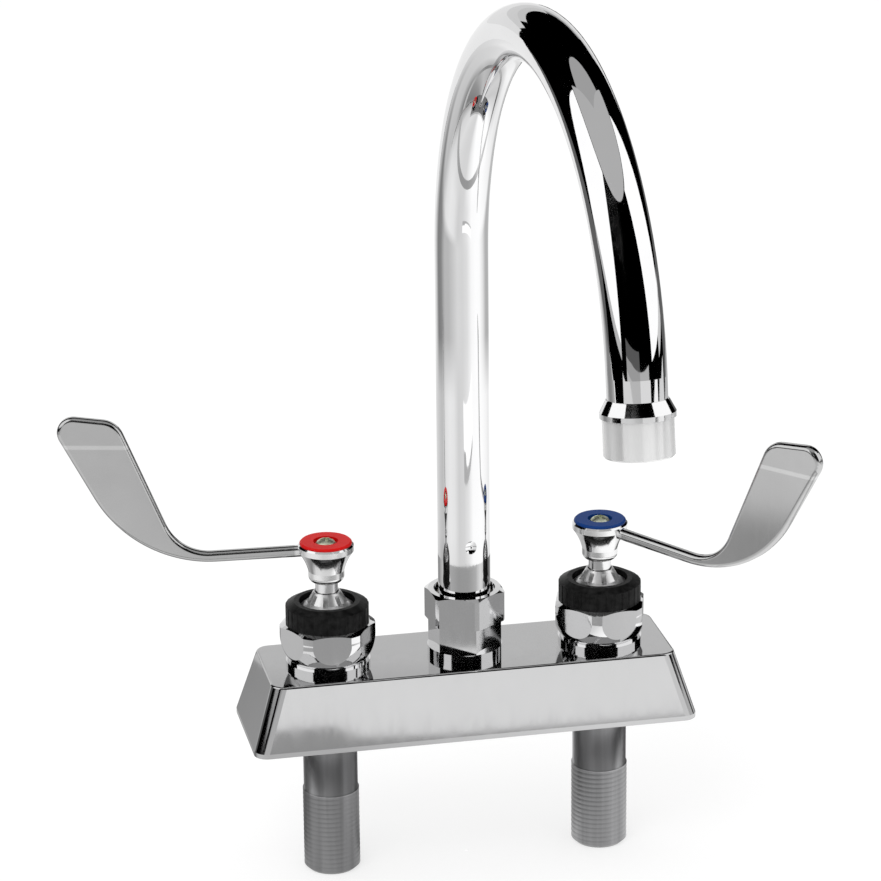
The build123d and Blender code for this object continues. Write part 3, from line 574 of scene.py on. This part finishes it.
def direction_ramp(tree, place, levels):
    """Grey that changes with the direction from the tap. The levels' directions run once round,
    from -90 to 270 degrees, and the ramp's positions from 0 to 1."""
    sweep = add(tree, "ShaderNodeTexGradient", gradient_type="RADIAL")
    ramp = tree.nodes.new("ShaderNodeValToRGB")
    positions = [(direction + 90) / 360 for direction, level in levels]
    for position in positions[1:-1]:
        ramp.color_ramp.elements.new(position)
    for element, position, (direction, level) in zip(ramp.color_ramp.elements, positions, levels):
        element.position = position
        element.color = (level, level, level, 1.0)
    tree.links.new(place.outputs["Object"], sweep.inputs["Vector"])
    tree.links.new(sweep.outputs["Fac"], ramp.inputs["Fac"])
    return ramp.outputs["Color"]


def direction_tone(name, levels, further=()):
    """Glow by the direction from the tap, so faces that look different ways come out in different
    greys. Each further list of levels takes over between two distances."""
    material, tree = bare_material(name)
    place = tree.nodes.new("ShaderNodeTexCoord")
    distance = add(tree, "ShaderNodeVectorMath", operation="LENGTH")
    tree.links.new(place.outputs["Object"], distance.inputs[0])
    colour = direction_ramp(tree, place, levels)
    for outer_levels, blend in further:
        share = span_factor(tree, distance.outputs["Value"], blend, (0.0, 1.0))
        mix = add(tree, "ShaderNodeMix", data_type="RGBA")
        tree.links.new(share, mix.inputs["Factor"])
        tree.links.new(colour, mix.inputs[MIX_FIRST])
        tree.links.new(direction_ramp(tree, place, outer_levels), mix.inputs[MIX_SECOND])
        colour = mix.outputs[MIX_RESULT]
    tone = tree.nodes.new("ShaderNodeEmission")
    out = tree.nodes.new("ShaderNodeOutputMaterial")
    tree.links.new(colour, tone.inputs["Color"])
    tree.links.new(tone.outputs["Emission"], out.inputs["Surface"])
    return material


def ring_card(name, first, last, material):
    """Ring round the tap: the point at angle a lies at radius r and height z, which go together
    from the first pair to the last. It is flat just above the floor, or upright as a low fence."""
    rings, around = RING_GRID
    r = np.linspace(first[0], last[0], rings)[:, None]
    z = np.linspace(first[1], last[1], rings)[:, None]
    a = np.linspace(0, 2 * np.pi, around, endpoint=False)[None, :]
    points = np.stack([r * np.cos(a), r * np.sin(a), z + 0 * a], axis=-1)
    reflection_card(name, points, grid_faces(rings, around, False, True), material)


def low_reflector(name, distance, top_line, level):
    """Upright card before the tap. Its top edge runs through the points of x and height from left
    to right, its foot lies at one height, and its rows divide the height between them evenly."""
    x, top = np.array(top_line).T
    share = np.linspace(0.0, 1.0, LOW_CARD_ROWS)[:, None]
    z = LOW_CARD_FOOT + (top - LOW_CARD_FOOT) * share
    points = np.stack([x + 0 * z, 0 * z - distance, z], axis=-1)
    reflection_card(name, points, grid_faces(LOW_CARD_ROWS, len(x)), glow(name + "_tone", level))


def seen_directly(tree):
    """One for what the camera sees itself, in a mirror or through a clear piece, else zero."""
    path = tree.nodes.new("ShaderNodeLightPath")
    seen = add(tree, "ShaderNodeMath", operation="MAXIMUM")
    seen_or_clear = add(tree, "ShaderNodeMath", operation="MAXIMUM")
    tree.links.new(path.outputs["Is Camera Ray"], seen.inputs[0])
    tree.links.new(path.outputs["Is Glossy Ray"], seen.inputs[1])
    tree.links.new(seen.outputs["Value"], seen_or_clear.inputs[0])
    tree.links.new(path.outputs["Is Transmission Ray"], seen_or_clear.inputs[1])
    return seen_or_clear.outputs["Value"]


def pale_floor():
    """Disc under the tap: the point at radius r and angle a, with the radii spaced evenly by
    ratio. It looks white but gives rough surfaces only what it scatters."""
    rings, around = FLOOR_GRID
    radii = np.geomspace(FLOOR_FIRST_RING, FLOOR_RADIUS, rings - 1)
    r = np.concatenate([[DISC_HOLE], radii])[:, None]
    a = np.linspace(0, 2 * np.pi, around, endpoint=False)[None, :]
    points = np.stack([r * np.cos(a), r * np.sin(a), FLOOR_Z + 0 * r * a], axis=-1)
    faces = grid_faces(rings, around, close_columns=True)
    floor = mesh_object("pale_floor", points.reshape(-1, 3), faces, None)
    material, tree = bare_material("white_sweep")
    paint = add(tree, "ShaderNodeBsdfDiffuse", Color=FLOOR_PAINT)
    lift = add(tree, "ShaderNodeEmission", Color=FLOOR_LIFT)
    both = tree.nodes.new("ShaderNodeAddShader")
    choose = tree.nodes.new("ShaderNodeMixShader")
    out = tree.nodes.new("ShaderNodeOutputMaterial")
    tree.links.new(paint.outputs["BSDF"], both.inputs[0])
    tree.links.new(lift.outputs["Emission"], both.inputs[1])
    tree.links.new(seen_directly(tree), choose.inputs["Fac"])
    tree.links.new(paint.outputs["BSDF"], choose.inputs[1])
    tree.links.new(both.outputs["Shader"], choose.inputs[2])
    tree.links.new(choose.outputs["Shader"], out.inputs["Surface"])
    floor.data.materials.append(material)


def light_world():
    """White background; rough surfaces get a plain even light."""
    world = bpy.data.worlds.new("white_room")
    bpy.context.scene.world = world
    world.use_nodes = True
    tree = world.node_tree
    tree.nodes.clear()
    strength = span_factor(tree, seen_directly(tree), (0.0, 1.0), (EVEN_LIGHT, WHITE_LIGHT))
    back = add(tree, "ShaderNodeBackground", Color=(1.0, 1.0, 1.0, 1.0))
    out = tree.nodes.new("ShaderNodeOutputWorld")
    tree.links.new(strength, back.inputs["Strength"])
    tree.links.new(back.outputs["Background"], out.inputs["Surface"])


def soft_lamp():
    """Square area lamp that faces the tap from the front, left and above."""
    lamp = bpy.data.lights.new("key_lamp", "AREA")
    lamp.shape = "SQUARE"
    lamp.size = LAMP_SIZE
    lamp.energy = LAMP_WATTS
    holder = bpy.data.objects.new("key_lamp", lamp)
    turn = (LAMP_PLACE - LAMP_AIM).to_track_quat("Z", "Y").to_matrix().to_4x4()
    holder.matrix_world = Matrix.Translation(LAMP_PLACE) @ turn
    bpy.context.scene.collection.objects.link(holder)


def fitted_camera():
    """The photograph's viewpoint: a long lens from the front, left and above."""
    lens = bpy.data.cameras.new("photo_camera")
    lens.sensor_width = SENSOR_WIDTH_MM
    lens.sensor_fit = "HORIZONTAL"
    lens.lens = FOCAL_PIXELS / PHOTO_PIXELS * SENSOR_WIDTH_MM
    lens.clip_end = CAMERA_REACH
    back = Vector((-sin(CAMERA_YAW) * cos(CAMERA_PITCH), -cos(CAMERA_YAW) * cos(CAMERA_PITCH),
                   sin(CAMERA_PITCH)))
    right = (-back).cross(Vector((0, 0, 1))).normalized()
    up = right.cross(-back)
    turned_right = cos(CAMERA_ROLL) * right + sin(CAMERA_ROLL) * up
    turned_up = cos(CAMERA_ROLL) * up - sin(CAMERA_ROLL) * right
    camera = bpy.data.objects.new("photo_camera", lens)
    camera.matrix_world = Matrix.Translation(CAMERA_PLACE) @ Matrix(
        (turned_right, turned_up, back)).transposed().to_4x4()
    bpy.context.scene.collection.objects.link(camera)
    bpy.context.scene.camera = camera


pale_floor()
ring_card("floor_mat", (DISC_HOLE, MAT_Z), (CARD_RADIUS, MAT_Z),
          direction_tone("floor_tone", NEAR_LEVELS,
                         [(MIDDLE_LEVELS, MIDDLE_BLEND), (FAR_LEVELS, FAR_BLEND)]))
ring_card("low_fence", (FENCE_RADIUS, FENCE_BOTTOM), (FENCE_RADIUS, FENCE_TOP),
          direction_tone("fence_tone", FENCE_LEVELS))
low_reflector("base_reflector", REFLECTOR_DISTANCE, REFLECTOR_TOP, REFLECTOR_LEVEL)
low_reflector("dark_strip", STRIP_DISTANCE, STRIP_TOP, STRIP_LEVEL)
light_world()
soft_lamp()
fitted_camera()
bpy.context.scene.view_settings.view_transform = "Standard"
